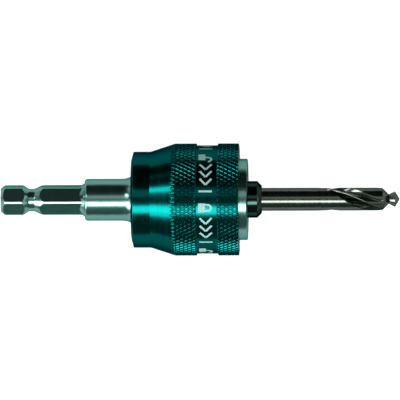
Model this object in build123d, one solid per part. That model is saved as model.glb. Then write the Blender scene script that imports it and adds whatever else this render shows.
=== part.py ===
from build123d import *
from math import asin, cos, degrees, pi, radians, sin, sqrt, tan
import os

# A quick-change hole saw arbor. The saw's hub slips over the black nose into a ring-shaped socket
# until its back meets the seat, and three balls grip it. Pulling the knurled sleeve back lets go.
# All sizes are in millimetres. The arbor lies on its sleeve with its axis along X, the drill points
# to +X, and X is 0 at the seat, where the back of the saw rests.

# Hub, the wide front end of the body, with the ring-shaped socket that the saw's own hub fills
hub_edge_chamfer = 0.35
hub_rear_wall = 1.325
socket_width = 1.77
socket_floor = 1.0
socket_mouth_chamfer = 0.3

# Three keyways in the socket's wall, which turn the saw
key_count = 3
key_width = 3.6
key_depth = 1.9
key_length = 12.0
key_end_flat = 0.02

# Barrel behind the hub, on which the sleeve slides, and the flare that leads into the shaft
barrel_diameter = 18.0
barrel_end = 1.2
flare_radius = 5.5

# Round shaft
shaft_step = 1.35
shaft_length = 11.7
shaft_corner_radius = 0.9

# Collar between the shaft and the hexagon
collar_step = 0.325
collar_length = 1.45

# Hexagonal drive shank with its turned groove
hex_across_flats = 8.7
hex_corner_rise = 0.525
hex_length = 24.8
hex_turn = 40.2
shank_end_chamfer = 1.4
groove_from_end = 6.7
groove_rear_flank = 2.0
groove_floor = 1.6
groove_front_flank = 2.7
groove_neck_diameter = 7.1
groove_round = 1.0

# Black drill holder, with the nose that centres the saw
nose_diameter = 11.46
nose_reach = 4.35
nose_chamfer = 1.4
holder_shoulder = 0.83
holder_floor = 5.4
holder_vent_diameter = 3.0
tail_hole_spare = 0.6

# Pilot drill
drill_diameter = 7.15
drill_length = 65.0
drill_insert = 17.6
drill_bore_clearance = 0.025
drill_shank_reach = 22.3
tang_across_flats = 5.6
tang_length = 6.0
tang_clearance = 0.03
drill_end_chamfer = 0.4
drill_end_gap = 0.1
flute_lead = 46.5
flute_turn = 15.8
flute_radius = 1.8
flute_width_turn = 4.0
web_thickness = 1.7
runout_length = 9.0
runout_middle_along = 0.4
runout_middle_up = 0.42
margin_width = 0.75
body_clearance = 0.2
step_diameter = 5.0
step_length = 1.9
step_neck_diameter = 3.0
step_shoulder_angle = 48.0
point_angle = 118.0

# Wire clip that holds the drill
clip_wire = 0.8
clip_back = 7.0
clip_set_out = 0.1
clip_room = 0.55
clip_opening = 60.0
clip_clearance = 0.02

# Grub screw that fixes the holder
screw_diameter = 4.0
screw_recess = 0.4
screw_from_tail_end = 2.7
screw_turn = 90.0
screw_key = 2.0
screw_key_depth = 2.0
screw_dimple = 0.5
screw_neck = 0.2
screw_top_chamfer = 0.3

# Lock balls
ball_count = 3
ball_diameter = 6.35
ball_back = 10.5
ball_proud = 0.225
ball_turn = 90.0
ball_hole_clearance = 0.03
ball_bite = 0.925
ball_lip_clearance = 0.06
ball_lip_height = 0.9

# Cam ring
cam_angle = 15.0
cam_ring_wall = 2.5
cam_ball_gap = 0.02
cam_land_clearance = 0.06
cam_lip_thickness = 1.0
cam_lip_clearance = 0.1

# Sleeve
sleeve_travel = 4.0
sleeve_set_back = 2.65
sleeve_wall = 2.3
sleeve_rear_wall = 2.5
sleeve_rear_length = 6.4
sleeve_taper_length = 7.7
rear_knurl_length = 6.5
print_band_depth = 0.575
print_band_length = 6.6
front_knurl_length = 6.85
sleeve_rear_round = 1.4
sleeve_web = 4.6
spring_room = 3.5
sleeve_bore_clearance = 0.05

# Knurl on the sleeve's two grip bands: grooves about 30 degrees to either side of the axis
knurl_teeth = 75
knurl_pitch = 2.5
knurl_bed_rise = 0.075
knurl_set_back = 0.05
knurl_end_chamfer = 0.25
knurl_fade_step = 0.05
knurl_fade_sink = 0.15
knurl_root = 0.3
knurl_overlap = 0.1

# Return spring, its washer and the snap ring
spring_wire = 1.2
spring_clearance = 1.1
spring_length = 11.6
spring_coils = 4.75
washer_thickness = 1.0
washer_bore_clearance = 0.05
washer_rim_clearance = 0.8
ring_thickness = 1.2
ring_depth = 0.5
ring_width = 2.0
ring_offset = 0.3
ring_opening = 40.0
ring_turn = 90.0
ring_lug_radius = 1.5
ring_lug_hole = 1.6
ring_groove_clearance = 0.02

# Diameters worked out from the sizes above, from the inside outwards
socket_radius = nose_diameter / 2 + socket_width
ball_radius = ball_diameter / 2
ball_centre_radius = socket_radius - ball_bite + ball_radius
hub_radius = ball_centre_radius + ball_radius - ball_proud
cam_ring_radius = hub_radius + cam_ring_wall
sleeve_radius = cam_ring_radius + sleeve_wall
print_band_radius = sleeve_radius - print_band_depth
knurl_bed_radius = print_band_radius + knurl_bed_rise
knurl_root_radius = knurl_bed_radius - knurl_root
barrel_radius = barrel_diameter / 2
sleeve_rear_bore_radius = barrel_radius + spring_room
sleeve_rear_radius = sleeve_rear_bore_radius + sleeve_rear_wall
hex_corner_radius = hex_across_flats / 2 + hex_corner_rise
collar_radius = hex_corner_radius + collar_step
shaft_radius = collar_radius + shaft_step
drill_radius = drill_diameter / 2
holder_tail_radius = nose_diameter / 2 - holder_shoulder

# Places along the axis worked out from the sizes above
hub_rear_x = -ball_back - ball_radius - hub_rear_wall
socket_floor_x = hub_rear_x + socket_floor
web_rear_x = hub_rear_x - sleeve_web
spring_rear_x = web_rear_x - spring_length
ring_front_x = spring_rear_x - washer_thickness
ring_rear_x = ring_front_x - ring_thickness
barrel_rear_x = ring_rear_x - barrel_end
flare_height = barrel_radius - shaft_radius
flare_length = sqrt(2 * flare_radius * flare_height - flare_height**2)
shaft_front_x = barrel_rear_x - flare_length
shaft_rear_x = shaft_front_x - shaft_length
hex_front_x = shaft_rear_x - collar_length
shank_rear_x = hex_front_x - hex_length
drill_rear_x = -drill_insert
drill_front_x = drill_rear_x + drill_length
drill_bore_radius = drill_radius + drill_bore_clearance
holder_rear_x = drill_rear_x - holder_floor
screw_x = holder_rear_x + screw_from_tail_end
screw_length = barrel_radius - screw_recess - holder_tail_radius + screw_dimple
sleeve_front_x = -sleeve_set_back
cam_slope = tan(radians(cam_angle))
cam_radius_at_ball = ball_centre_radius + (ball_radius + cam_ball_gap) / cos(radians(cam_angle))


def face_of(points):
    """A closed flat outline through (x, radius) points in the XY plane."""
    return make_face(Polyline(*points, close=True))


def turned(outline):
    """The solid that an outline above the X axis makes when it is turned about the axis."""
    return revolve(outline, axis=Axis.X)


def rod(radius, x0, x1):
    """A round rod along X from x0 to x1."""
    return turned(face_of([(x0, 0), (x1, 0), (x1, radius), (x0, radius)]))


def ring(inner, outer, x0, x1):
    """A plain ring about X from x0 to x1."""
    return turned(face_of([(x0, inner), (x1, inner), (x1, outer), (x0, outer)]))


def rounded(outline, corners, radius):
    """The outline with the corners that lie at the given points rounded."""
    chosen = [v for v in outline.vertices() if any((Vector(*c) - Vector(v)).length < 0.01 for c in corners)]
    return fillet(chosen, radius)


def around(solid, angle):
    """The solid turned about the X axis."""
    return Rot(angle, 0, 0) * solid


def upright(x, turn):
    """A place on the axis at x, whose own Z points outwards at this angle about X."""
    return Rot(turn - 90, 0, 0) * Pos(x, 0, 0)


def flat_bar(across, x0, x1, reach):
    """A bar along X with two flats, as wide as reach to each side."""
    return Pos((x0 + x1) / 2, 0, 0) * Box(x1 - x0, 2 * reach, across)


def make_shank():
    """The hexagon, cut from a turned blank with a chamfered end and the groove."""
    corner = hex_corner_radius
    neck = groove_neck_diameter / 2
    rear = shank_rear_x
    groove_rear = rear + groove_from_end
    floor_rear = groove_rear + groove_rear_flank
    floor_front = floor_rear + groove_floor
    groove_front = floor_front + groove_front_flank
    blank = face_of([
        (rear, 0),
        (rear, corner - shank_end_chamfer),
        (rear + shank_end_chamfer, corner),
        (groove_rear, corner),
        (floor_rear, neck),
        (floor_front, neck),
        (groove_front, corner),
        (hex_front_x, corner),
        (hex_front_x, 0),
    ])
    blank = rounded(blank, [(floor_rear, neck), (floor_front, neck)], groove_round)
    hexagon = RegularPolygon(hex_across_flats / 2, 6, major_radius=False)
    bar = extrude(Plane.YZ.offset(rear) * Rot(0, 0, hex_turn) * hexagon, hex_front_x - rear)
    return turned(blank) & bar


def make_body():
    """The steel body: hub, barrel, flare, shaft, collar and hexagon in one piece."""
    flare_middle_x = shaft_front_x + flare_radius * sin(radians(22.5))
    flare_middle_r = shaft_radius + flare_radius * (1 - cos(radians(22.5)))
    outline = [
        Polyline(
            (hex_front_x, 0),
            (hex_front_x, hex_corner_radius),
            (shaft_rear_x, collar_radius),
            (shaft_rear_x, shaft_radius - shaft_corner_radius),
        ),
        ThreePointArc(
            (shaft_rear_x, shaft_radius - shaft_corner_radius),
            (
                shaft_rear_x + shaft_corner_radius * (1 - sin(radians(45))),
                shaft_radius - shaft_corner_radius * (1 - cos(radians(45))),
            ),
            (shaft_rear_x + shaft_corner_radius, shaft_radius),
        ),
        Line((shaft_rear_x + shaft_corner_radius, shaft_radius), (shaft_front_x, shaft_radius)),
        ThreePointArc(
            (shaft_front_x, shaft_radius),
            (flare_middle_x, flare_middle_r),
            (barrel_rear_x, barrel_radius),
        ),
        Polyline(
            (barrel_rear_x, barrel_radius),
            (hub_rear_x, barrel_radius),
            (hub_rear_x, hub_radius),
            (-hub_edge_chamfer, hub_radius),
            (0, hub_radius - hub_edge_chamfer),
            (0, 0),
            (hex_front_x, 0),
        ),
    ]
    body = turned(make_face(outline)) + make_shank()

    tail_hole_x = holder_rear_x - tail_hole_spare
    tail_point_x = tail_hole_x - holder_tail_radius / tan(radians(point_angle / 2))
    body -= turned(face_of([
        (socket_mouth_chamfer, 0),
        (socket_mouth_chamfer, socket_radius + 2 * socket_mouth_chamfer),
        (-socket_mouth_chamfer, socket_radius),
        (socket_floor_x, socket_radius),
        (socket_floor_x, holder_tail_radius),
        (tail_hole_x, holder_tail_radius),
        (tail_point_x, 0),
    ]))
    body -= ring(
        barrel_radius - ring_depth,
        barrel_radius + 1,
        ring_rear_x - ring_groove_clearance,
        ring_front_x,
    )

    key_top = socket_radius + key_depth
    key_cut = Pos(0, 0, key_top / 2) * Box(2 * key_length, key_width, key_top)
    key_corners = key_cut.edges().filter_by(Axis.Z).group_by(Axis.X)[0]
    key_cut = fillet(key_corners, (key_width - key_end_flat) / 2)
    hole_radius = ball_radius + ball_hole_clearance
    lip_radius = sqrt(ball_radius**2 - (ball_radius - ball_bite) ** 2) + ball_lip_clearance
    lip_top = socket_radius + ball_lip_height
    ball_cut = turned_hole(
        [
            (0, 0),
            (lip_radius, 0),
            (lip_radius, socket_radius),
            (hole_radius, lip_top),
            (hole_radius, hub_radius + 1),
            (0, hub_radius + 1),
        ]
    )
    for number in range(ball_count):
        body -= upright(-ball_back, ball_turn + 360 * number / ball_count) * ball_cut
    for number in range(key_count):
        body -= around(key_cut, ball_turn - 90 + 180 / key_count + 360 * number / key_count)

    screw_hole = Cylinder(screw_diameter / 2, barrel_radius, align=(Align.CENTER, Align.CENTER, Align.MIN))
    body -= upright(screw_x, screw_turn) * screw_hole
    return body


def turned_hole(points):
    """A hole shape standing on the axis, from (radius, height) points, turned about its own Z."""
    outline = make_face(Polyline(*[(r, 0, h) for r, h in points], close=True))
    return revolve(outline, axis=Axis.Z)


def make_holder():
    """The black drill holder: nose, free-standing spigot and the tail that sits in the body."""
    nose_radius = nose_diameter / 2
    holder = turned(face_of([
        (holder_rear_x, 0),
        (holder_rear_x, holder_tail_radius),
        (socket_floor_x, holder_tail_radius),
        (socket_floor_x, nose_radius),
        (nose_reach - nose_chamfer, nose_radius),
        (nose_reach, nose_radius - nose_chamfer),
        (nose_reach, 0),
    ]))
    holder -= rod(holder_vent_diameter / 2, holder_rear_x - 1, nose_reach)
    tang_front_x = drill_rear_x + tang_length
    bore_rear_x = drill_rear_x - drill_end_gap
    tang_hole = rod(drill_bore_radius, bore_rear_x, tang_front_x) & flat_bar(
        tang_across_flats + 2 * tang_clearance, bore_rear_x, tang_front_x, drill_diameter
    )
    holder -= tang_hole
    holder -= rod(drill_bore_radius, tang_front_x, nose_reach + 1)
    clip_radius = clip_middle_radius() + clip_wire / 2 + clip_room
    half = clip_wire / 2 + clip_clearance
    holder -= ring(drill_radius, clip_radius, -clip_back - half, -clip_back + half)
    dimple = Cone(
        screw_diameter / 2 - 2 * screw_dimple,
        screw_diameter / 2 - screw_dimple,
        screw_dimple,
        align=(Align.CENTER, Align.CENTER, Align.MIN),
    )
    holder -= upright(screw_x, screw_turn) * Pos(0, 0, holder_tail_radius - screw_dimple) * dimple
    return holder


def clip_middle_radius():
    """The wire clip lies half in the drill's groove and half in the holder's."""
    return drill_radius + clip_set_out


def make_clip():
    """An open ring of round spring wire."""
    middle = clip_middle_radius()
    wire = Plane.XZ * Pos(-clip_back, middle) * Circle(clip_wire / 2)
    sweep_angle = 360 - clip_opening
    return around(revolve(wire, axis=Axis.X, revolution_arc=sweep_angle), clip_opening / 2)


def drill_section():
    """The fluted cross-section of the drill, in its own plane: two margins, two lands, two flutes."""
    flute_path = web_thickness / 2 + flute_radius
    half_chord = sqrt((flute_radius**2 - (drill_radius - flute_path) ** 2) / (4 * drill_radius * flute_path))
    lip_angle = 2 * degrees(asin(half_chord))
    overlap_angle = lip_angle / 4
    margin_angle = degrees(margin_width / drill_radius) + overlap_angle
    margin = make_face([
        Line((0, 0), (drill_radius, 0)),
        CenterArc((0, 0), drill_radius, 0, margin_angle),
        Line((drill_radius * cos(radians(margin_angle)), drill_radius * sin(radians(margin_angle))), (0, 0)),
    ])
    flute = SlotArc(CenterArc((0, 0), flute_path, 0, flute_width_turn), 2 * flute_radius)
    section = Circle(drill_radius - body_clearance)
    for side in (0, 180):
        section += Rot(0, 0, side - lip_angle + overlap_angle - margin_angle) * margin
    for side in (0, 180):
        section -= Rot(0, 0, side) * flute
    return section


def make_drill():
    """The pilot drill: tang, clip groove, round shank, two helical flutes and a stepped point."""
    step_radius = step_diameter / 2
    neck_radius = step_neck_diameter / 2
    point_length = step_radius / tan(radians(point_angle / 2))
    step_front_x = drill_front_x - point_length
    shoulder_front_x = step_front_x - step_length
    shoulder_length = (drill_radius - neck_radius) / tan(radians(step_shoulder_angle))
    flute_start_x = drill_shank_reach - 1
    fluted_length = drill_front_x - flute_start_x
    section = Plane.YZ.offset(flute_start_x) * Rot(0, 0, flute_turn) * drill_section()
    fluted = Solid.extrude_linear_with_rotation(
        section.faces()[0],
        (flute_start_x, 0, 0),
        (fluted_length, 0, 0),
        360 * fluted_length / flute_lead,
    )
    point = turned(face_of([
        (flute_start_x, 0),
        (flute_start_x, drill_diameter),
        (shoulder_front_x - shoulder_length - drill_radius, drill_diameter),
        (shoulder_front_x - shoulder_length, drill_radius),
        (shoulder_front_x, neck_radius),
        (step_front_x, step_radius),
        (drill_front_x, 0),
    ]))
    fluted = point & fluted
    core = web_thickness / 4
    runout_middle = (
        drill_shank_reach + runout_middle_along * runout_length,
        core + runout_middle_up * (drill_radius - core),
    )
    runout_end = (drill_shank_reach + runout_length, core)
    shank = turned(make_face([
        Polyline(
            (runout_end[0], 0),
            (drill_rear_x, 0),
            (drill_rear_x, drill_radius - drill_end_chamfer),
            (drill_rear_x + drill_end_chamfer, drill_radius),
            (drill_shank_reach, drill_radius),
        ),
        ThreePointArc((drill_shank_reach, drill_radius), runout_middle, runout_end),
        Line(runout_end, (runout_end[0], 0)),
    ]))
    tang_front_x = drill_rear_x + tang_length
    off_cut = 2 * drill_diameter
    for side in (-1, 1):
        corner_z = side * (tang_across_flats + off_cut) / 2
        shank -= Pos(drill_rear_x, 0, corner_z) * Box(2 * (tang_length + tang_clearance), off_cut, off_cut)
    groove = Plane.XZ * Pos(-clip_back, clip_middle_radius()) * Circle(clip_wire / 2 + clip_clearance)
    shank -= revolve(groove, axis=Axis.X)
    return shank + fluted


def make_screw():
    """A grub screw with a hexagon socket and a cone point, from its point outwards."""
    radius = screw_diameter / 2
    screw = turned_hole([
        (0, -screw_dimple),
        (radius - 2 * screw_dimple, -screw_dimple),
        (radius - screw_dimple, 0),
        (radius - screw_dimple, screw_neck),
        (radius, screw_dimple + screw_neck),
        (radius, screw_length - screw_dimple - screw_top_chamfer),
        (radius - screw_top_chamfer, screw_length - screw_dimple),
        (0, screw_length - screw_dimple),
    ])
    key = extrude(RegularPolygon(screw_key / 2, 6, major_radius=False), screw_key_depth)
    screw -= Pos(0, 0, screw_length - screw_dimple - screw_key_depth) * key
    return upright(screw_x, screw_turn) * Pos(0, 0, holder_tail_radius) * screw


def knurled(rows):
    """A ring with crossed grooves, through rows of (x, radius of the tips) from front to rear.

    Tips and groove crossings take turns round each row and from row to row, and every groove runs
    straight from crossing to crossing.
    """
    grid = []
    for number, (x, tip_radius) in enumerate(rows):
        radii = (tip_radius, min(tip_radius, knurl_bed_radius))
        turns = [pi * step / knurl_teeth for step in range(2 * knurl_teeth)]
        grid.append([
            Vector(x, radii[(number + step) % 2] * cos(turn), radii[(number + step) % 2] * sin(turn))
            for step, turn in enumerate(turns)
        ])
    faces = []
    for number, (row, next_row) in enumerate(zip(grid, grid[1:])):
        for step in range(2 * knurl_teeth):
            a, b = row[step - 1], row[step]
            c, d = next_row[step - 1], next_row[step]
            tip_first = (number + step - 1) % 2 == 0
            halves = ((a, b, c), (b, d, c)) if tip_first else ((a, b, d), (a, d, c))
            faces += [Face(Wire.make_polygon(half)) for half in halves]
    bore = knurl_root_radius - knurl_root
    for row in (grid[0], grid[-1]):
        faces.append(Face(Wire.make_polygon(row), [Wire.make_circle(bore, Plane.YZ.offset(row[0].X))]))
    front_x, rear_x = rows[0][0], rows[-1][0]
    faces.append(Face.extrude(Edge.make_circle(bore, Plane.YZ.offset(rear_x)), (front_x - rear_x, 0, 0)))
    return Solid(Shell(faces))


def make_sleeve():
    """The aluminium sleeve: two knurled grips and a taper outside, a sliding web inside, both ends open."""
    half_pitch = knurl_pitch / 2
    front_knurl_x = sleeve_front_x - front_knurl_length
    band_rear_x = front_knurl_x - print_band_length
    rear_knurl_x = band_rear_x - rear_knurl_length
    taper_x = rear_knurl_x - sleeve_taper_length
    rear_x = taper_x - sleeve_rear_length
    taper_slope = (sleeve_radius - sleeve_rear_radius) / sleeve_taper_length
    fade_radius = knurl_bed_radius + knurl_fade_step
    fade_x = rear_knurl_x - (sleeve_radius - fade_radius) / taper_slope
    outline = face_of([
        (sleeve_front_x, cam_ring_radius),
        (sleeve_front_x, knurl_root_radius),
        (front_knurl_x + knurl_overlap, knurl_root_radius),
        (front_knurl_x + knurl_overlap, print_band_radius),
        (band_rear_x - knurl_overlap, print_band_radius),
        (band_rear_x - knurl_overlap, knurl_root_radius),
        (fade_x, knurl_root_radius),
        (fade_x, fade_radius),
        (taper_x, sleeve_rear_radius),
        (rear_x, sleeve_rear_radius),
        (rear_x, sleeve_rear_bore_radius),
        (web_rear_x, sleeve_rear_bore_radius),
        (web_rear_x, barrel_radius + sleeve_bore_clearance),
        (hub_rear_x, barrel_radius + sleeve_bore_clearance),
        (hub_rear_x, cam_ring_radius),
    ])
    sleeve = turned(rounded(outline, [(rear_x, sleeve_rear_radius)], sleeve_rear_round))

    front_x = sleeve_front_x - knurl_set_back
    length = front_x - front_knurl_x - 2 * knurl_end_chamfer
    count = max(1, round(length / half_pitch))
    rows = [(front_x - knurl_end_chamfer - length * i / count, sleeve_radius) for i in range(count + 1)]
    sleeve += knurled([(front_x, knurl_bed_radius), *rows, (front_knurl_x, knurl_bed_radius)])

    rows = [(band_rear_x, knurl_bed_radius), (band_rear_x - knurl_end_chamfer, sleeve_radius)]
    while rows[-1][0] > fade_x:
        x = rows[-1][0] - half_pitch
        rows.append((x, sleeve_radius - max(0, rear_knurl_x - x) * taper_slope))
    last_x, last_radius = rows[-1]
    rows[-1] = (last_x, last_radius - knurl_fade_sink)
    return sleeve + knurled(rows)


def make_cam_ring():
    """The hardened ring: a land on the hub, the cone that works the balls, a relief and a front lip."""
    land = hub_radius + cam_land_clearance
    ball_x = -ball_back
    cone_rear_x = ball_x + (land - cam_radius_at_ball) / cam_slope
    cone_front_x = ball_x + sleeve_travel + ball_radius * sin(radians(cam_angle)) / 2
    relief = cam_radius_at_ball + (cone_front_x - ball_x) * cam_slope
    lip_x = sleeve_front_x - cam_lip_thickness
    lip = hub_radius + cam_lip_clearance
    return turned(face_of([
        (hub_rear_x, land),
        (cone_rear_x, land),
        (cone_front_x, relief),
        (lip_x, relief),
        (lip_x, lip),
        (sleeve_front_x, lip),
        (sleeve_front_x, cam_ring_radius),
        (hub_rear_x, cam_ring_radius),
    ]))


def make_ball(number):
    """One lock ball in its hole, held in by the cam ring and kept from falling out by the hole's lip."""
    turn = ball_turn + 360 * number / ball_count
    return upright(-ball_back, turn) * Pos(0, 0, ball_centre_radius) * Sphere(ball_radius)


def make_spring():
    """A coil spring of round wire about the barrel, between the washer and the sleeve's web."""
    wire_radius = spring_wire / 2
    height = spring_length - spring_wire
    helix = Helix(height / spring_coils, height, barrel_radius + spring_clearance + wire_radius)
    path = Plane.YZ.offset(spring_rear_x + wire_radius) * helix
    section = Plane(origin=path @ 0, z_dir=path % 0) * Circle(wire_radius)
    return sweep(section, path, is_frenet=True)


def make_washer():
    """The flat washer behind the spring."""
    return ring(
        barrel_radius + washer_bore_clearance,
        sleeve_rear_bore_radius - washer_rim_clearance,
        ring_front_x,
        spring_rear_x,
    )


def make_retaining_ring():
    """A snap ring with two lugs, thickest opposite its opening, which is at the top."""
    inner = barrel_radius - ring_depth
    outer = inner + ring_width - ring_offset
    lug_middle = inner + ring_lug_radius
    profile = Pos(-ring_offset, 0) * Circle(outer) - Circle(inner)
    half = ring_opening / 2
    reach = 2 * barrel_diameter
    wedge = make_face(Polyline(
        (0, 0),
        (reach * cos(radians(half)), reach * sin(radians(half))),
        (reach, 0),
        (reach * cos(radians(half)), -reach * sin(radians(half))),
        close=True,
    ))
    profile -= wedge
    lug_angle = half + degrees(ring_lug_radius / lug_middle)
    for side in (-1, 1):
        place = Rot(0, 0, side * lug_angle) * Pos(lug_middle, 0)
        profile += place * Circle(ring_lug_radius)
    for side in (-1, 1):
        place = Rot(0, 0, side * lug_angle) * Pos(lug_middle, 0)
        profile -= place * Circle(ring_lug_hole / 2)
    profile -= Circle(inner)
    return around(extrude(Plane.YZ.offset(ring_rear_x) * profile, ring_thickness), ring_turn)


parts = {
    "arbor_body": make_body(),
    "drill_holder": make_holder(),
    "pilot_drill": make_drill(),
    "drill_clip": make_clip(),
    "holder_screw": make_screw(),
    "lock_sleeve": make_sleeve(),
    "cam_ring": make_cam_ring(),
    "return_spring": make_spring(),
    "spring_washer": make_washer(),
    "retaining_ring": make_retaining_ring(),
}
for number in range(ball_count):
    parts[f"lock_ball_{number + 1}"] = make_ball(number)

os.makedirs("parts", exist_ok=True)
for name, solid in parts.items():
    export_step(solid, f"parts/{name}.step")
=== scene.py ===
import bpy
import math
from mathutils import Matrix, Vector


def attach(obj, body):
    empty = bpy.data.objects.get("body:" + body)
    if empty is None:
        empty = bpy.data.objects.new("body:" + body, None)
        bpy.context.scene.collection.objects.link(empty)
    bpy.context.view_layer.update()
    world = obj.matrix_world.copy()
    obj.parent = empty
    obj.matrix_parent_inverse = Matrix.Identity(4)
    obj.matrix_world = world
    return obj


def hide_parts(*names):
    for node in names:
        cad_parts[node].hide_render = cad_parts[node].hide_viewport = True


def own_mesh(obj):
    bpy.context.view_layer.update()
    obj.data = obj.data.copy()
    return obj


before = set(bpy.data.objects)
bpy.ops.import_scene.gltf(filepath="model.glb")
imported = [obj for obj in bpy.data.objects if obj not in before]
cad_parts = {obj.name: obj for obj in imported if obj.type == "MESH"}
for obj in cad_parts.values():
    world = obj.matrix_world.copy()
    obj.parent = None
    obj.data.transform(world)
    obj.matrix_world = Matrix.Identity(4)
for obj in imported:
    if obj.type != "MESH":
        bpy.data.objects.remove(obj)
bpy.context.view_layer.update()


# Arbor body
# One steel bar, turned to the hub, barrel, flare and shaft, then milled to a hexagon at its rear.
# The socket, its keyways and the ball holes are cut from the front, and all is plated with nickel.

mm = 0.001


def colour(hex_code):
    """An sRGB hex colour as linear red, green, blue and alpha."""
    parts = [int(hex_code[i:i + 2], 16) / 255 for i in (1, 3, 5)]
    return tuple(p / 12.92 if p <= 0.04045 else ((p + 0.055) / 1.055) ** 2.4 for p in parts) + (1.0,)


def add_node(tree, kind, settings=None, inputs=None, links=None):
    """Adds one node, sets its properties and sockets, and links its inputs from other nodes' outputs."""
    node = tree.nodes.new(kind)
    for key, value in (settings or {}).items():
        setattr(node, key, value)
    for key, value in (inputs or {}).items():
        node.inputs[key].default_value = value
    for key, (source, output) in (links or {}).items():
        tree.links.new(source.outputs[output], node.inputs[key])
    return node


def new_material(name):
    """An empty node material: its tree, its shader and its object coordinates."""
    material = bpy.data.materials.new(name)
    material.use_nodes = True
    tree = material.node_tree
    tree.nodes.clear()
    shader = add_node(tree, "ShaderNodeBsdfPrincipled")
    add_node(tree, "ShaderNodeOutputMaterial", links={"Surface": (shader, "BSDF")})
    place = add_node(tree, "ShaderNodeTexCoord")
    return material, tree, shader, place


def give_material(piece, material):
    """Makes this the piece's only material."""
    piece.data.materials.clear()
    piece.data.materials.append(material)


def choose(piece):
    """Selects this piece alone and makes it active."""
    bpy.ops.object.select_all(action="DESELECT")
    bpy.context.view_layer.objects.active = piece
    piece.select_set(True)


def spin_outline(name, outline, steps):
    """Turns an outline of (x, radius) points in millimetres about the X axis, as on a lathe."""
    bpy.ops.object.select_all(action="DESELECT")
    x0, r0 = outline[0]
    bpy.ops.mesh.primitive_plane_add(size=mm, location=(x0 * mm, 0, r0 * mm))
    piece = bpy.context.object
    piece.name = name
    bpy.ops.object.transform_apply(location=True)
    bpy.ops.object.mode_set(mode="EDIT")
    bpy.ops.mesh.select_all(action="SELECT")
    bpy.ops.mesh.merge(type="CENTER")
    for (xa, ra), (xb, rb) in zip(outline, outline[1:]):
        step = ((xb - xa) * mm, 0, (rb - ra) * mm)
        bpy.ops.mesh.extrude_vertices_move(TRANSFORM_OT_translate={"value": step})
    bpy.ops.mesh.select_all(action="SELECT")
    bpy.ops.mesh.spin(steps=steps, angle=2 * math.pi, center=(0, 0, 0), axis=(1, 0, 0))
    bpy.ops.mesh.select_all(action="SELECT")
    bpy.ops.mesh.remove_doubles(threshold=0.001 * mm)
    bpy.ops.mesh.normals_make_consistent(inside=False)
    bpy.ops.object.mode_set(mode="OBJECT")
    return piece


def turn_about_axis(piece, angle):
    """Turns the piece's mesh about the X axis, from +Z towards -Y, by an angle in degrees."""
    choose(piece)
    piece.rotation_euler = (math.radians(angle), 0, 0)
    bpy.ops.object.transform_apply(location=True, rotation=True, scale=True)


def apply_modifier(piece, kind, **settings):
    """Adds one modifier to the piece and applies it at once."""
    choose(piece)
    bpy.ops.object.modifier_add(type=kind)
    modifier = piece.modifiers[-1]
    for key, value in settings.items():
        setattr(modifier, key, value)
    bpy.ops.object.modifier_apply(modifier=modifier.name)


def work_in(piece, tool, operation="DIFFERENCE"):
    """Cuts the tool out of the piece, or joins or intersects the two, and removes the tool."""
    apply_modifier(piece, "BOOLEAN", object=tool, operation=operation, solver="EXACT")
    bpy.data.objects.remove(tool)


def smooth(piece, angle):
    """Shades the piece smooth, with edges sharper than this angle in degrees kept crisp."""
    choose(piece)
    bpy.ops.object.shade_smooth_by_angle(angle=math.radians(angle))


def arc(centre, radius, start, end, steps):
    """Points on an arc in an outline, by angle in degrees from the X axis."""
    turns = [math.radians(start + (end - start) * i / steps) for i in range(steps + 1)]
    return [(centre[0] + radius * math.cos(t), centre[1] + radius * math.sin(t)) for t in turns]


body = spin_outline("body_turning", [
    (-52.6, 0.0),
    (-52.6, 4.2),
    (-51.05, 5.16),
    (-50.88, 5.2),
    *arc((-49.98, 5.65), 0.9, 180, 90, 9),
    (-45.0, 6.55),
    *arc((-39.18, 12.05), 5.5, -90, -33.7, 10),
    (-33.42, 9.0),
    (-33.42, 8.5),
    (-32.2, 8.5),
    (-32.2, 9.0),
    (-15.0, 9.0),
    (-15.0, 12.4),
    (-14.7, 12.7),
    (-0.35, 12.7),
    (-0.1, 12.6),
    (0.0, 12.35),
    (0.0, 7.8),
    (-0.3, 7.5),
    (-14.0, 7.5),
    (-14.0, 4.9),
    (-23.6, 4.9),
    (-26.54, 0.0),
], 180)

shank_front_x = -51.6
corner_radius = 4.875
sharp_corner_radius = 5.023
hexagon_turn = 10.2
hexagon = spin_outline("hexagon", [
    (-78.0, 0),
    (-78.0, sharp_corner_radius),
    (shank_front_x, sharp_corner_radius),
    (shank_front_x, 0),
], 6)
turn_about_axis(hexagon, hexagon_turn)
shank = spin_outline("shank", [
    (-77.1, 0.0),
    (-77.1, 3.6),
    (-75.85, 4.76),
    (-75.6, corner_radius),
    (-70.45, corner_radius),
    (-70.2, 4.8),
    *arc((-68.1, 4.55), 1.0, 236, 270, 4),
    *arc((-66.8, 4.55), 1.0, 270, 296, 4),
    (-64.0, 4.8),
    (-63.7, corner_radius),
    (shank_front_x, corner_radius),
    (shank_front_x, 0.0),
], 180)
work_in(shank, hexagon, "INTERSECT")
work_in(body, shank, "UNION")

keyway_width = 3.6
keyway_top = 9.4
keyway_end_x = -12.0
for number in range(3):
    bpy.ops.object.select_all(action="DESELECT")
    bpy.ops.mesh.primitive_cylinder_add(
        vertices=48,
        radius=keyway_width / 2 * mm,
        depth=keyway_top * mm,
        location=((keyway_end_x + keyway_width / 2) * mm, 0, keyway_top / 2 * mm),
    )
    keyway = bpy.context.object
    bpy.ops.object.mode_set(mode="EDIT")
    bpy.ops.mesh.select_all(action="DESELECT")
    bpy.ops.object.mode_set(mode="OBJECT")
    for vertex in keyway.data.vertices:
        vertex.select = vertex.co.x > 0.0001 * mm
    bpy.ops.object.mode_set(mode="EDIT")
    bpy.ops.transform.translate(value=(20 * mm, 0, 0))
    bpy.ops.object.mode_set(mode="OBJECT")
    bpy.ops.object.transform_apply(location=True)
    turn_about_axis(keyway, 60 + 120 * number)
    work_in(body, keyway)

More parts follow.
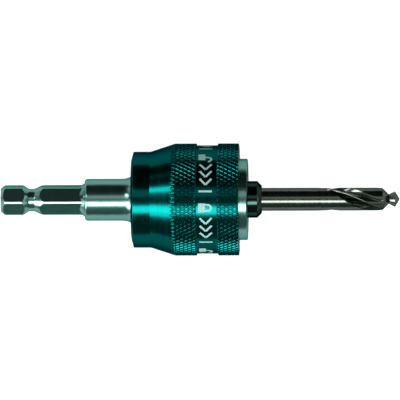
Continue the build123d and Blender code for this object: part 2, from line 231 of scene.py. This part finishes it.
ball_x = -10.5
ball_hole_radius = 3.205
ball_lip_radius = 2.3
for number in range(3):
    hole = spin_outline("ball_hole", [
        (6.6, 0),
        (6.6, ball_lip_radius),
        (7.5, ball_lip_radius),
        (8.4, ball_hole_radius),
        (13.7, ball_hole_radius),
        (13.7, 0),
    ], 48)
    choose(hole)
    hole.location = (ball_x * mm, 0, 0)
    hole.rotation_euler = (0, math.radians(-90), 0)
    bpy.ops.object.transform_apply(location=True, rotation=True)
    turn_about_axis(hole, 120 * number)
    work_in(body, hole)

screw_x = -20.3
screw_hole_radius = 2
bpy.ops.object.select_all(action="DESELECT")
bpy.ops.mesh.primitive_cylinder_add(
    vertices=48,
    radius=screw_hole_radius * mm,
    depth=8 * mm,
    location=(screw_x * mm, 0, 8 * mm),
)
screw_hole = bpy.context.object
choose(screw_hole)
bpy.ops.object.transform_apply(location=True)
work_in(body, screw_hole)
smooth(body, 14)

# Bright nickel plate: it mirrors the lamps white and the dark room nearly black, with a green-blue cast
# in between. Fine rings left by the lathe and the grinder, drawn 0.3 mm apart, break the mirror up.
nickel, tree, shader, place = new_material("bright nickel plate")
shader.inputs["Base Color"].default_value = colour("#93c8c0")
shader.inputs["Metallic"].default_value = 1.0
shader.inputs["Specular Tint"].default_value = colour("#7fc4bb")
lathe_rings = add_node(
    tree,
    "ShaderNodeMapping",
    inputs={"Scale": (3300, 90, 90)},
    links={"Vector": (place, "Object")},
)
ring_marks = add_node(
    tree,
    "ShaderNodeTexNoise",
    inputs={"Scale": 1.0, "Detail": 3.0},
    links={"Vector": (lathe_rings, "Vector")},
)
ring_gloss = add_node(
    tree,
    "ShaderNodeMapRange",
    inputs={"From Min": 0.3, "From Max": 0.7, "To Min": 0.22, "To Max": 0.24},
    links={"Value": (ring_marks, "Fac")},
)
tree.links.new(ring_gloss.outputs["Result"], shader.inputs["Roughness"])
ring_bump = add_node(
    tree,
    "ShaderNodeBump",
    inputs={"Strength": 0.02, "Distance": 0.01 * mm},
    links={"Height": (ring_marks, "Fac")},
)
tree.links.new(ring_bump.outputs["Normal"], shader.inputs["Normal"])

give_material(body, nickel)
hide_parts("arbor_body")
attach(body, "body")


# Drill holder
# A separate spigot of blackened steel whose nose centres the saw and whose tail a grub screw holds.
# Its bore has a groove for the drill's clip and ends in two flats that keep the drill from turning.

tail_radius = 4.9
nose_radius = 5.73
bore_radius = 3.6
clip_space_radius = 4.625
tang_flat = 2.83
tang_front_x = -11.6
holder = spin_outline("nose_spigot", [
    (-23.0, 1.5),
    (-23.0, 4.6),
    (-22.7, tail_radius),
    (-14.0, tail_radius),
    (-14.0, nose_radius),
    (0.0, nose_radius),
    *arc((2.87, 5.53), 0.2, 90, 45, 4),
    *arc((4.15, 4.25), 0.2, 45, 0, 4),
    (4.35, bore_radius + 0.15),
    (4.2, bore_radius),
    (-6.58, bore_radius),
    (-6.58, clip_space_radius),
    (-7.42, clip_space_radius),
    (-7.42, bore_radius),
    (tang_front_x + 0.02, bore_radius),
    (tang_front_x, bore_radius),
    (-17.7, bore_radius),
    (-17.7, 1.5),
    (-23.0, 1.5),
], 128)
for vertex in holder.data.vertices:
    x, y, z = vertex.co / mm
    if x < tang_front_x + 0.01 and math.hypot(y, z) < bore_radius + 0.01 and abs(z) > tang_flat:
        vertex.co.z = math.copysign(tang_flat, z) * mm
bpy.ops.object.select_all(action="DESELECT")
bpy.ops.mesh.primitive_cone_add(
    vertices=32,
    radius1=1.0 * mm,
    radius2=1.55 * mm,
    depth=0.55 * mm,
    location=(screw_x * mm, 0, 4.675 * mm),
)
dimple = bpy.context.object
choose(dimple)
bpy.ops.object.transform_apply(location=True)
work_in(holder, dimple)
smooth(holder, 14)

# Black oxide on a polished turning: nearly black, with one narrow highlight that looks wet with oil.
# Its turning lines are drawn 0.2 mm apart.
black_oxide, tree, shader, place = new_material("polished black oxide")
shader.inputs["Base Color"].default_value = colour("#3c504d")
shader.inputs["Metallic"].default_value = 1.0
shader.inputs["Specular Tint"].default_value = colour("#3c6f6b")
turning_lines = add_node(
    tree,
    "ShaderNodeMapping",
    inputs={"Scale": (5000, 150, 150)},
    links={"Vector": (place, "Object")},
)
turning_marks = add_node(
    tree,
    "ShaderNodeTexNoise",
    inputs={"Scale": 1.0, "Detail": 2.0},
    links={"Vector": (turning_lines, "Vector")},
)
oil_gloss = add_node(
    tree,
    "ShaderNodeMapRange",
    inputs={"From Min": 0.3, "From Max": 0.7, "To Min": 0.12, "To Max": 0.2},
    links={"Value": (turning_marks, "Fac")},
)
tree.links.new(oil_gloss.outputs["Result"], shader.inputs["Roughness"])
give_material(holder, black_oxide)
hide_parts("drill_holder")
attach(holder, "body")
give_material(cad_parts["holder_screw"], black_oxide)


# Pilot drill
# Ground from high speed steel: a plain shank, two right-hand flutes that run out towards the holder,
# a rounded ridge and a shallow scoop beside each flute, and a small pilot ahead of the shoulder.

drill_radius = 3.575
web_radius = 0.9
drill_points = 192
half_points = drill_points // 2

flute_lead = 46.5
flute_first_x = 22.4
flute_full_x = 33.0
flute_mouth = 0.6
flute_first_turn = 12
flute_gained_turn = 38
widening = 0.8
deepening = 0.7
floor_share = 0.42
front_wall_bend = 1.2
rear_wall_bend = 1.1
edge_drop = 0.3

ridge_x = 35.63
ridge_turn = 97.7
ridge_rear_turn = -4
ridge_front_turn = 3
ridge_drop = 0.06

scoop_turn = 48.0
scoop_depth = 1.1
scoop_first_share = 0.45
scoop_floor = 0.22

scoop_points = 30
ridge_points = 10
flute_points = 26
flute_from = scoop_points + ridge_points
land_from = flute_from + flute_points
blend_x = 5.0


def drill_point(x, index):
    """The (y, z) of one of the points round the drill at x: scoop, ridge, flute and land, twice."""
    half, step = divmod(index, half_points)
    plain_turn = (step - scoop_points) * 360 / drill_points
    centre_turn = ridge_turn + 360 * (max(x, flute_first_x) - ridge_x) / flute_lead
    grown = max(0.0, min(1.0, (x - flute_first_x) / (flute_full_x - flute_first_x)))
    opened = max(0.0, min(1.0, (x - flute_first_x) / flute_mouth))
    flute_turn = flute_first_turn + flute_gained_turn * grown**widening
    floor_radius = drill_radius - (drill_radius - web_radius) * grown**deepening
    edge_radius = drill_radius - edge_drop * opened
    if step < scoop_points:
        share = step / scoop_points
        own_turn = -scoop_turn + (scoop_turn + ridge_rear_turn) * share
        deep = scoop_depth * (scoop_first_share + (1 - scoop_first_share) * grown)
        if share < scoop_floor:
            drop = deep * share / scoop_floor
        else:
            drop = ridge_drop + (deep - ridge_drop) * (1 - share) / (1 - scoop_floor)
        radius = drill_radius - opened * drop
    elif step < flute_from:
        share = (step - scoop_points) / ridge_points
        own_turn = ridge_rear_turn + (ridge_front_turn - ridge_rear_turn) * share
        radius = drill_radius - opened * (ridge_drop + (edge_drop - ridge_drop) * share**2)
    elif step < land_from:
        share = (step - flute_from) / flute_points
        own_turn = ridge_front_turn + (flute_turn - ridge_front_turn) * share
        if share < floor_share:
            rise = (1 - share / floor_share) ** front_wall_bend
            radius = floor_radius + (edge_radius - floor_radius) * rise
        else:
            rise = ((share - floor_share) / (1 - floor_share)) ** rear_wall_bend
            radius = floor_radius + (drill_radius - floor_radius) * rise
    else:
        share = (step - land_from) / (half_points - land_from)
        own_turn = flute_turn + (180 - scoop_turn - flute_turn) * share
        radius = drill_radius
    if x < flute_first_x:
        blend = max(0.0, min(1.0, (x - blend_x) / (flute_first_x - blend_x)))
        own_turn = plain_turn + (own_turn - plain_turn) * blend
        radius = drill_radius
    turn = math.radians(centre_turn + own_turn + 180 * half)
    return radius * math.cos(turn), radius * math.sin(turn)


def evenly(start, end, spacing):
    """Places from start to end, about this far apart, without the end itself."""
    count = max(1, round(abs(end - start) / spacing))
    return [start + (end - start) * i / count for i in range(count)]


def flank(start, end, spacing):
    """Points on a straight flank of an outline, about this far apart, without the end itself."""
    (x0, r0), (x1, r1) = start, end
    return [(x, r0 + (r1 - r0) * (x - x0) / (x1 - x0)) for x in evenly(x0, x1, spacing)]


clip_groove_x = -7.0
fluted_from_x = -6.5
shoulder_x = 42.13
pilot_x = 44.0
point_x = 45.9
tip_x = 47.4
neck_radius = 1.5
pilot_radius = 2.5
drill_flat = 2.8
outline = [(-17.6, 0.0), (-17.6, 3.2), (-17.2, drill_radius), (tang_front_x - 0.04, drill_radius)]
outline += [(tang_front_x, drill_radius), (-8.5, drill_radius)]
outline += arc((clip_groove_x, 3.675), 0.42, 194, 346, 10)
outline += flank((-6.4, drill_radius), (blend_x, drill_radius), 2.0)
outline += flank((blend_x, drill_radius), (flute_first_x, drill_radius), 0.5)
outline += flank((flute_first_x, drill_radius), (shoulder_x, drill_radius), 0.2)
outline += flank((shoulder_x, drill_radius), (pilot_x, neck_radius), 0.12)
outline += flank((pilot_x, neck_radius), (point_x, pilot_radius), 0.12)
outline += flank((point_x, pilot_radius), (tip_x, 0.0), 0.12)
outline += [(tip_x, 0.0)]
drill = spin_outline("fluted_drill", outline, drill_points)
for vertex in drill.data.vertices:
    x, y, z = vertex.co / mm
    blank_radius = math.hypot(y, z)
    if blank_radius < 0.001:
        continue
    if x < tang_front_x - 0.02:
        if abs(z) > drill_flat:
            vertex.co.z = math.copysign(drill_flat, z) * mm
    elif x > fluted_from_x:
        index = round(math.degrees(math.atan2(z, y)) * drill_points / 360) % drill_points
        y, z = drill_point(x, index)
        radius = math.hypot(y, z)
        share = min(1.0, blank_radius / radius)
        vertex.co = Vector((x, y * share, z * share)) * mm
smooth(drill, 22)

# Ground high speed steel: a neutral grey metal, darker than the plated body, with grinding lines
# round the shank that are drawn 0.25 mm apart.
drill_steel, tree, shader, place = new_material("ground high speed steel")
shader.inputs["Metallic"].default_value = 1.0
shader.inputs["Specular Tint"].default_value = colour("#5d8a84")
grinding_lines = add_node(
    tree,
    "ShaderNodeMapping",
    inputs={"Scale": (4000, 100, 100)},
    links={"Vector": (place, "Object")},
)
grinding_marks = add_node(
    tree,
    "ShaderNodeTexNoise",
    inputs={"Scale": 1.0, "Detail": 3.0},
    links={"Vector": (grinding_lines, "Vector")},
)
grinding_shade = add_node(tree, "ShaderNodeValToRGB", links={"Fac": (grinding_marks, "Fac")})
grinding_shade.color_ramp.elements[0].position = 0.3
grinding_shade.color_ramp.elements[0].color = colour("#737970")
grinding_shade.color_ramp.elements[1].position = 0.7
grinding_shade.color_ramp.elements[1].color = colour("#868c83")
tree.links.new(grinding_shade.outputs["Color"], shader.inputs["Base Color"])
grinding_gloss = add_node(
    tree,
    "ShaderNodeMapRange",
    inputs={"From Min": 0.3, "From Max": 0.7, "To Min": 0.16, "To Max": 0.24},
    links={"Value": (grinding_marks, "Fac")},
)
tree.links.new(grinding_gloss.outputs["Result"], shader.inputs["Roughness"])
give_material(drill, drill_steel)
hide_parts("pilot_drill")
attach(drill, "body")


# Coil spring, clip and snap ring
# All three are of oil-tempered steel: a coil that pushes the sleeve forward, a wire that snaps into
# the drill's groove, and the ring at the coil's rear. In use the coil is squashed as the sleeve comes
# back; here it is drawn as one fixed coil.

# Oil-tempered spring steel: dark grey with a soft sheen, in patches about 1 mm wide where oil dried.
spring_steel, tree, shader, place = new_material("oil-tempered spring steel")
shader.inputs["Metallic"].default_value = 1.0
oil_patches = add_node(
    tree,
    "ShaderNodeTexNoise",
    inputs={"Scale": 900.0, "Detail": 4.0},
    links={"Vector": (place, "Object")},
)
oil_shade = add_node(tree, "ShaderNodeValToRGB", links={"Fac": (oil_patches, "Fac")})
oil_shade.color_ramp.elements[0].position = 0.35
oil_shade.color_ramp.elements[0].color = colour("#4f5253")
oil_shade.color_ramp.elements[1].position = 0.65
oil_shade.color_ramp.elements[1].color = colour("#7d8182")
tree.links.new(oil_shade.outputs["Color"], shader.inputs["Base Color"])
shader.inputs["Roughness"].default_value = 0.34
for node in ("retaining_ring", "drill_clip"):
    give_material(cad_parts[node], spring_steel)

wire_radius = 0.6
coil_radius = 10.7
coil_turns = 4.75
coil_rear_x = -31.2
coil_front_x = -19.6
points_per_turn = 48
coil_points = round(coil_turns * points_per_turn)
coil_rise = coil_front_x - coil_rear_x - 2 * wire_radius
coil_line = bpy.data.curves.new("coil_spring", "CURVE")
coil_line.dimensions = "3D"
coil_line.bevel_depth = wire_radius * mm
coil_line.bevel_resolution = 3
coil_line.use_fill_caps = True
wire = coil_line.splines.new("POLY")
wire.points.add(coil_points)
for number, point in enumerate(wire.points):
    turn = 2 * math.pi * number / points_per_turn
    x = coil_rear_x + wire_radius + coil_rise * number / coil_points
    point.co = (x * mm, coil_radius * math.cos(turn) * mm, coil_radius * math.sin(turn) * mm, 1)
coil_spring = bpy.data.objects.new("coil_spring", coil_line)
bpy.context.collection.objects.link(coil_spring)
choose(coil_spring)
bpy.ops.object.convert(target="MESH")
smooth(coil_spring, 40)
give_material(coil_spring, spring_steel)
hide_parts("return_spring")
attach(coil_spring, "body")
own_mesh(coil_spring)


# Cam ring, balls and washer
# The ring that works the balls, the three balls that grip the saw, and the washer behind the spring.
# Hardened and ground bearing steel, bright and neutral, with circular lines drawn 0.17 mm apart.

bearing_steel, tree, shader, place = new_material("ground bearing steel")
shader.inputs["Base Color"].default_value = colour("#a9b5b4")
shader.inputs["Metallic"].default_value = 1.0
fine_lines = add_node(
    tree,
    "ShaderNodeMapping",
    inputs={"Scale": (6000, 200, 200)},
    links={"Vector": (place, "Object")},
)
fine_marks = add_node(
    tree,
    "ShaderNodeTexNoise",
    inputs={"Scale": 1.0, "Detail": 2.0},
    links={"Vector": (fine_lines, "Vector")},
)
fine_gloss = add_node(
    tree,
    "ShaderNodeMapRange",
    inputs={"To Min": 0.12, "To Max": 0.24},
    links={"Value": (fine_marks, "Fac")},
)
tree.links.new(fine_gloss.outputs["Result"], shader.inputs["Roughness"])
for node in ("cam_ring", "lock_ball_1", "lock_ball_2", "lock_ball_3", "spring_washer"):
    give_material(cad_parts[node], bearing_steel)


# Lock sleeve
# Turned from aluminium bar, with two knurled grips beside a plain printed band, a long taper and a
# plain rear end. Two crossed sets of grooves leave the knurl as rows of flat-topped diamonds.

front_x = -2.65
knurl_radius = 17.5
bed_radius = 17.0
band_radius = 16.925
rear_radius = 15.0
front_knurl_x = front_x - 6.6
band_rear_x = front_knurl_x - 6.6
rear_knurl_x = band_rear_x - 6.75
taper_x = rear_knurl_x - 7.7
rear_x = taper_x - 5.95
rear_bore = 12.5
web_rear_x = -19.6
web_front_x = -15.0
web_bore = 9.05
cam_bore = 15.2
teeth_round = 75
tooth_pitch = 2.5
cuts_per_tooth = 10
valley_radius = 17.08
groove_flank = 0.19
edge_round = 0.22
band_bevel = 0.06

# Rows of points across the grips, counted back from the saw's seat, a tenth of a tooth apart.
front_rows = range(13, 36)
rear_rows = range(65, 91)
fading_rows = range(91, 100)
row_gap = tooth_pitch / cuts_per_tooth
slope = (knurl_radius - rear_radius) / (rear_knurl_x - taper_x)
outline = [(front_x, cam_bore), (front_x, bed_radius - 0.1)]
outline += [(front_x - 0.05, bed_radius)]
outline += arc((front_x - 0.05 - edge_round, knurl_radius - edge_round), edge_round, 0, 90, 5)
outline += [(-row_gap * row, knurl_radius) for row in front_rows]
outline += arc((front_knurl_x + edge_round, knurl_radius - edge_round), edge_round, 90, 180, 5)
outline += [(front_knurl_x, band_radius + band_bevel), (front_knurl_x - band_bevel, band_radius)]
outline += [(x, band_radius) for x in evenly(front_knurl_x - 1.0, band_rear_x + band_bevel, 1.0)]
outline += [(band_rear_x + band_bevel, band_radius), (band_rear_x, band_radius + band_bevel)]
outline += arc((band_rear_x - edge_round, knurl_radius - edge_round), edge_round, 0, 90, 5)
outline += [(-row_gap * row, knurl_radius) for row in rear_rows]
outline += [(-row_gap * row, rear_radius + (-row_gap * row - taper_x) * slope) for row in fading_rows]
taper_places = evenly(rear_knurl_x - 2.2, taper_x + 0.25, 1.5)
outline += [(x, rear_radius + (x - taper_x) * slope) for x in taper_places]
outline += [(taper_x + 0.15, rear_radius + 0.15 * slope), (taper_x + 0.04, rear_radius + 0.04 * slope)]
outline += [(taper_x - 0.04, rear_radius), (taper_x - 0.2, rear_radius), (rear_x + 1.3, rear_radius)]
outline += arc((rear_x + 0.85, rear_radius - 0.3), 0.3, 90, 165, 5)
outline += [(rear_x + 0.42, 14.2), (rear_x + 0.25, 13.6), (rear_x + 0.1, 13.0), (rear_x, 12.75)]
outline += [(rear_x + 0.2, rear_bore)]
outline += [(web_rear_x, rear_bore), (web_rear_x, web_bore)]
outline += [(web_front_x, web_bore), (web_front_x, cam_bore)]
outline += [(front_x, cam_bore)]
sleeve = spin_outline("knurled_sleeve", outline, teeth_round * cuts_per_tooth)

for vertex in sleeve.data.vertices:
    x, y, z = vertex.co / mm
    radius = math.hypot(y, z)
    in_front_grip = front_knurl_x - 0.001 < x < front_x - 0.03
    in_rear_grip = rear_knurl_x - 2.3 < x < band_rear_x + 0.001
    if (in_front_grip or in_rear_grip) and radius > bed_radius:
        turn = teeth_round * math.atan2(y, z) / (2 * math.pi)
        along = x / tooth_pitch
        from_groove = min(0.5 - abs((turn + side * along) % 1.0 - 0.5) for side in (1, -1))
        rise = min(1.0, from_groove / groove_flank)
        cut_radius = valley_radius + (knurl_radius - valley_radius) * rise
        if cut_radius < radius:
            vertex.co = Vector((x, y * cut_radius / radius, z * cut_radius / radius)) * mm
smooth(sleeve, 38)

# Dyed anodising on turned aluminium: a deep clear teal that is nearly black away from the lamps,
# with faint lathe rings drawn 0.4 mm apart.
anodised, tree, shader, place = new_material("teal anodised aluminium")
shader.inputs["Metallic"].default_value = 1.0
shader.inputs["Specular Tint"].default_value = colour("#2f8a94")
sleeve_lines = add_node(
    tree,
    "ShaderNodeMapping",
    inputs={"Scale": (2500, 60, 60)},
    links={"Vector": (place, "Object")},
)
sleeve_marks = add_node(
    tree,
    "ShaderNodeTexNoise",
    inputs={"Scale": 1.0, "Detail": 4.0},
    links={"Vector": (sleeve_lines, "Vector")},
)
dye = add_node(tree, "ShaderNodeValToRGB", links={"Fac": (sleeve_marks, "Fac")})
dye.color_ramp.elements[0].position = 0.3
dye.color_ramp.elements[0].color = colour("#036462")
dye.color_ramp.elements[1].position = 0.7
dye.color_ramp.elements[1].color = colour("#046f6c")
tree.links.new(dye.outputs["Color"], shader.inputs["Base Color"])
sleeve_gloss = add_node(
    tree,
    "ShaderNodeMapRange",
    inputs={"From Min": 0.3, "From Max": 0.7, "To Min": 0.16, "To Max": 0.21},
    links={"Value": (sleeve_marks, "Fac")},
)
tree.links.new(sleeve_gloss.outputs["Result"], shader.inputs["Roughness"])
give_material(sleeve, anodised)
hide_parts("lock_sleeve")
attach(sleeve, "sleeve")


# Printed marks on the band
# A plain white screen print, 4.4 mm tall, that shows how the sleeve works: pull it back along the
# arrows to open the lock. Locks and arrows follow each other all the way round.

ink_thickness = 0.02
print_radius = band_radius + 0.012
stroke_width = 0.6
band_middle_x = (front_knurl_x + band_rear_x) / 2 - 0.35
print_stretch = 1.12


def add_stroke(start, end, width=stroke_width):
    """A flat bar of ink between two (round, along) places on the unrolled band, in millimetres."""
    run = Vector(end) - Vector(start)
    middle = (Vector(start) + Vector(end)) / 2
    bpy.ops.object.select_all(action="DESELECT")
    bpy.ops.mesh.primitive_grid_add(
        x_subdivisions=max(1, round(run.length / 0.3)),
        y_subdivisions=2,
        size=1.0,
        location=(middle.x * mm, middle.y * mm, 0),
        rotation=(0, 0, math.atan2(run.y, run.x)),
    )
    stroke = bpy.context.object
    stroke.scale = (run.length * mm, width * mm, 1)
    bpy.ops.object.transform_apply(location=True, rotation=True, scale=True)
    return stroke


def add_bow(centre, radius, start, end, width=stroke_width):
    """Bars of ink along an arc on the unrolled band."""
    count = 7
    turns = [math.radians(start + (end - start) * i / count) for i in range(count + 1)]
    places = [(centre[0] + radius * math.cos(t), centre[1] + radius * math.sin(t)) for t in turns]
    return [add_stroke(a, b, width) for a, b in zip(places, places[1:])]


strokes = []
repeats = 6
slot_round = 2 * math.pi * print_radius / repeats
for number in range(repeats):
    left = slot_round * number
    is_open = number % 2 == 1
    shift = 1.1 if is_open else 0
    near_leg = left + 1.65 + shift
    far_leg = left + 3.55
    bar = left + 15.2
    strokes.append(add_stroke((left + 1.2, -1.0), (left + 4.0, -1.0), 1.9))
    strokes += add_bow((left + 2.6 + shift, 0.7), 0.95, 180, 0)
    strokes.append(add_stroke((near_leg, -0.1), (near_leg, 0.8)))
    if not is_open:
        strokes.append(add_stroke((far_leg, -0.1), (far_leg, 0.8)))
    for step in range(3):
        tip = left + 6.9 + 2.6 * step
        strokes.append(add_stroke((tip - 1.0, 1.75), (tip + 1.0, 0.1)))
        strokes.append(add_stroke((tip - 1.0, -1.55), (tip + 1.0, 0.1)))
    strokes.append(add_stroke((bar, -1.8), (bar, 1.9)))

bpy.ops.object.select_all(action="DESELECT")
for stroke in strokes:
    stroke.select_set(True)
bpy.context.view_layer.objects.active = strokes[0]
bpy.ops.object.join()
marks = bpy.context.object
marks.name = "band_print"
for vertex in marks.data.vertices:
    turn = vertex.co.x / mm / print_radius
    along = band_middle_x + vertex.co.y / mm * print_stretch
    vertex.co = Vector((along, -print_radius * math.sin(turn), print_radius * math.cos(turn))) * mm
choose(marks)
bpy.ops.object.mode_set(mode="EDIT")
bpy.ops.mesh.select_all(action="SELECT")
bpy.ops.mesh.normals_make_consistent(inside=False)
bpy.ops.object.mode_set(mode="OBJECT")
for polygon in marks.data.polygons:
    outward = Vector((0, polygon.center.y, polygon.center.z))
    if polygon.normal.dot(outward) < 0:
        polygon.flip()
apply_modifier(marks, "SOLIDIFY", thickness=ink_thickness * mm, offset=-1)
smooth(marks, 30)

# Epoxy printing ink: white with a trace of the teal that shows through it, and a soft grain that is
# drawn 0.2 mm wide.
ink, tree, shader, place = new_material("white epoxy printing ink")
ink_grain = add_node(
    tree,
    "ShaderNodeTexNoise",
    inputs={"Scale": 5000.0, "Detail": 2.0},
    links={"Vector": (place, "Object")},
)
ink_shade = add_node(tree, "ShaderNodeValToRGB", links={"Fac": (ink_grain, "Fac")})
ink_shade.color_ramp.elements[0].position = 0.3
ink_shade.color_ramp.elements[0].color = colour("#a4e2da")
ink_shade.color_ramp.elements[1].position = 0.7
ink_shade.color_ramp.elements[1].color = colour("#c4f2ec")
tree.links.new(ink_shade.outputs["Color"], shader.inputs["Base Color"])
shader.inputs["Roughness"].default_value = 0.4
give_material(marks, ink)
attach(marks, "sleeve")


# Table, lamps and camera
# The arbor lies on a white table and is seen from straight above, as the photograph shows it. A long
# soft lamp gives the main streak, a second one the streak on the taper, and the room around is dark.

floor_z = -17.5
floor_size = 6000.0
bpy.ops.object.select_all(action="DESELECT")
bpy.ops.mesh.primitive_plane_add(size=floor_size * mm, location=(0, 0, floor_z * mm))
table = bpy.context.object
table.name = "table"

# Matt paper that the camera sees as white, and the metal's mirror images as a fainter grey.
paper, tree, shader, place = new_material("white matt table")
shader.inputs["Base Color"].default_value = (0.58, 0.58, 0.58, 1)
shader.inputs["Roughness"].default_value = 1.0
shader.inputs["Specular IOR Level"].default_value = 0.0
output = next(node for node in tree.nodes if node.type == "OUTPUT_MATERIAL")
rays = add_node(tree, "ShaderNodeLightPath")
mirrored = add_node(
    tree,
    "ShaderNodeMath",
    {"operation": "MAXIMUM"},
    links={0: (rays, "Is Glossy Ray"), 1: (rays, "Is Transmission Ray")},
)
mirrored_lift = add_node(
    tree,
    "ShaderNodeMath",
    {"operation": "MULTIPLY"},
    {1: 0.07},
    {0: (mirrored, "Value")},
)
camera_lift = add_node(
    tree,
    "ShaderNodeMath",
    {"operation": "MULTIPLY"},
    {1: 0.94},
    {0: (rays, "Is Camera Ray")},
)
lift = add_node(
    tree,
    "ShaderNodeMath",
    {"operation": "MAXIMUM"},
    links={0: (camera_lift, "Value"), 1: (mirrored_lift, "Value")},
)
white = add_node(
    tree,
    "ShaderNodeEmission",
    inputs={"Color": (1, 1, 1, 1)},
    links={"Strength": (lift, "Value")},
)
both = add_node(tree, "ShaderNodeAddShader", links={0: (shader, "BSDF"), 1: (white, "Emission")})
tree.links.new(both.outputs["Shader"], output.inputs["Surface"])
give_material(table, paper)


def add_lamp(name, place, aim, length, width, level):
    """A soft lamp at a place in millimetres, aimed at another, as bright as this level of white."""
    bpy.ops.object.light_add(type="AREA", location=Vector(place) * mm)
    lamp = bpy.context.object
    lamp.name = name
    lamp.data.shape = "RECTANGLE"
    lamp.data.size = length * mm
    lamp.data.size_y = width * mm
    lamp.data.energy = level * 4 * length * mm * width * mm
    view = Vector(aim) - Vector(place)
    lamp.rotation_euler = view.to_track_quat("-Z", "Y").to_euler()
    lamp.visible_camera = False
    return lamp


add_lamp("key_lamp", (-350, -242, 571), (-350, 0, 0), 1100, 185, 4.5)
add_lamp("flank_lamp", (-700, -420, 500), (0, 0, 0), 300, 380, 4.2)
add_lamp("rear_lamp", (-500, 262, 560), (-500, 0, 0), 320, 120, 4.2)
add_lamp("top_lamp", (-15, 163, 606), (-15, 0, 0), 1200, 190, 0.34)
add_lamp("rear_card", (-900, -260, 260), (0, 0, 0), 620, 420, 0.7)
add_lamp("far_card", (-760, 620, 240), (0, 0, 0), 420, 420, 0.3)
add_lamp("front_card", (900, 0, 230), (0, 0, 0), 900, 360, 0.9)

world = bpy.data.worlds.new("dark room")
bpy.context.scene.world = world
world.use_nodes = True
tree = world.node_tree
tree.nodes.clear()
direction = add_node(tree, "ShaderNodeTexCoord")
parts = add_node(tree, "ShaderNodeSeparateXYZ", links={"Vector": (direction, "Generated")})
room = add_node(
    tree,
    "ShaderNodeMapRange",
    inputs={"From Min": -0.9, "From Max": 0.2, "To Min": 0.085, "To Max": 0.012},
    links={"Value": (parts, "Y")},
)
dark = add_node(
    tree,
    "ShaderNodeBackground",
    inputs={"Color": colour("#c4fff2")},
    links={"Strength": (room, "Result")},
)
bright = add_node(tree, "ShaderNodeBackground", inputs={"Strength": 1.0})
rays = add_node(tree, "ShaderNodeLightPath")
sky = add_node(
    tree,
    "ShaderNodeMixShader",
    links={0: (rays, "Is Camera Ray"), 1: (dark, "Background"), 2: (bright, "Background")},
)
add_node(tree, "ShaderNodeOutputWorld", links={"Surface": (sky, "Shader")})

# The camera stands far off, so the arbor is seen almost without perspective.
camera_distance = 3000.0
camera_x = 70.8
camera_y = -0.39
look_turn = 1.637
camera_roll = -0.17
focal_length = 865.5
bpy.ops.object.camera_add(
    location=(camera_x * mm, camera_y * mm, camera_distance * mm),
    rotation=(0, math.radians(look_turn), math.radians(camera_roll)),
)
camera = bpy.context.object
camera.data.sensor_width = 36.0
camera.data.lens = focal_length
camera.data.clip_start = 0.01
camera.data.clip_end = 100.0
bpy.context.scene.camera = camera
bpy.context.scene.view_settings.view_transform = "Standard"
